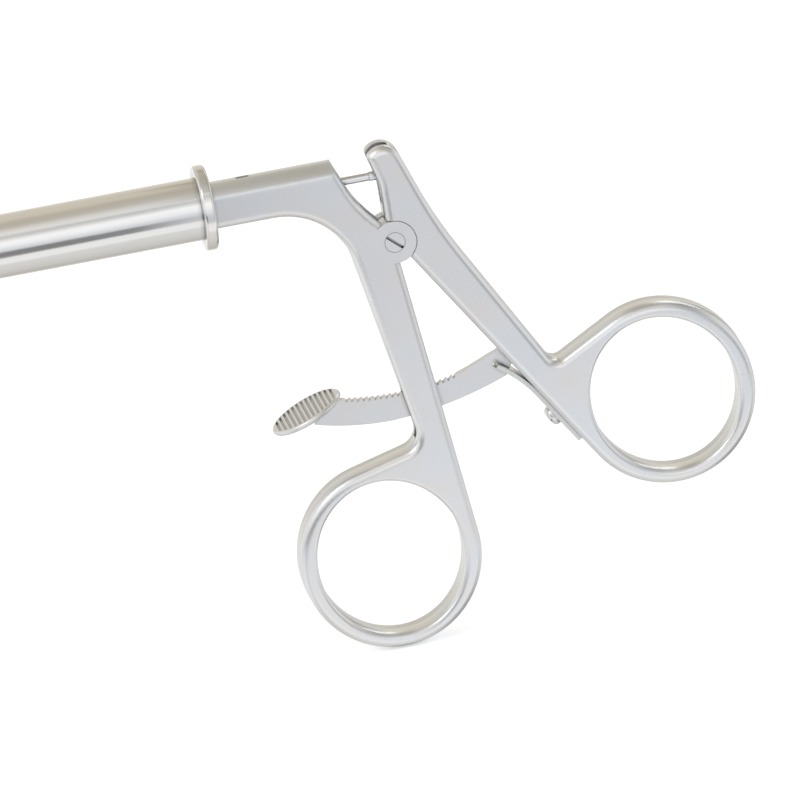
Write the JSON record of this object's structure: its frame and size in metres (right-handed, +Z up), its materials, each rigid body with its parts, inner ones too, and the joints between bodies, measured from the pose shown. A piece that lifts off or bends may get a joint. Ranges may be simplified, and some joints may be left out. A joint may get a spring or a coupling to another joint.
{
  "type": "laparoscopic grasper",
  "caption": "Straight round shaft with double-action fenestrated jaws, worked by scissor handles with finger rings and a ratchet bar between them.",
  "frame": {"origin": "on the shaft's axis, at the flange's front face, where the shaft stops against a trocar", "axes": "-X along the shaft to the jaws, +X to the handles, +Z up with the finger rings hanging below, Y across the flat handle plates"},
  "size_m": [0.4118, 0.0136, 0.0864],
  "materials": {
    "handle_steel": "fine satin",
    "tube_steel": "polished along the shaft",
    "ratchet_steel": "fine satin",
    "screw_steel": "satin",
    "spring_steel": "polished",
    "rod_steel": "ground",
    "jaw_steel": "satin",
    "spacer": "machined",
    "seal": "smooth"
  },
  "bodies": {
    "front": {"front_handle": "handle_steel", "pivot_screw": "screw_steel", "rod_bush": "rod_steel", "gland_seal_ring": "seal", "gland_nut": "screw_steel", "tube_flange": "tube_steel", "outer_tube": "tube_steel", "rod_spacers": "spacer", "jaw_yoke": "tube_steel", "jaw_pin": "screw_steel"},
    "rear": {"rear_handle": "handle_steel", "rod_pin": "screw_steel", "ratchet_pin": "screw_steel", "ratchet_spring": "spring_steel", "spring_screw": "screw_steel"},
    "ratchet": {"ratchet_bar": "ratchet_steel", "ratchet_pad": "ratchet_steel"},
    "rod": {"pull_rod": "rod_steel", "rod_eye": "rod_steel", "rod_slider": "rod_steel", "cam_pin": "screw_steel"},
    "jaw_up": {"upper_jaw": "jaw_steel"},
    "jaw_down": {"lower_jaw": "jaw_steel"}
  },
  "joints": [
    {"name": "handle_hinge", "type": "hinge", "parent": "front", "child": "rear", "pos_m": [0.0296, 0, -0.0105], "axis": [0, 1, 0], "range_deg": [-10, 20]},
    {"name": "ratchet_hinge", "type": "hinge", "parent": "rear", "child": "ratchet", "pos_m": [0.0463, 0, -0.0322], "axis": [0, 1, 0], "range_deg": [-6, 0], "stiffness_Nm_per_rad": 0.2, "springref_deg": 5.73},
    {"name": "rod_slide", "type": "slide", "parent": "front", "child": "rod", "axis": [1, 0, 0], "range_m": [-0.00179, 0.00357]},
    {"name": "upper_jaw_hinge", "type": "hinge", "parent": "front", "child": "jaw_up", "pos_m": [-0.304, 0, 0], "axis": [0, 1, 0], "range_deg": [-17.01, 8.51]},
    {"name": "lower_jaw_hinge", "type": "hinge", "parent": "front", "child": "jaw_down", "pos_m": [-0.304, 0, 0], "axis": [0, 1, 0], "range_deg": [-8.51, 17.01]}
  ],
  "couplings": [
    {"joint": "rod_slide", "follows": "handle_hinge", "m_per_rad": 0.0102},
    {"joint": "upper_jaw_hinge", "follows": "handle_hinge", "ratio": -0.85},
    {"joint": "lower_jaw_hinge", "follows": "handle_hinge", "ratio": 0.85}
  ]
}
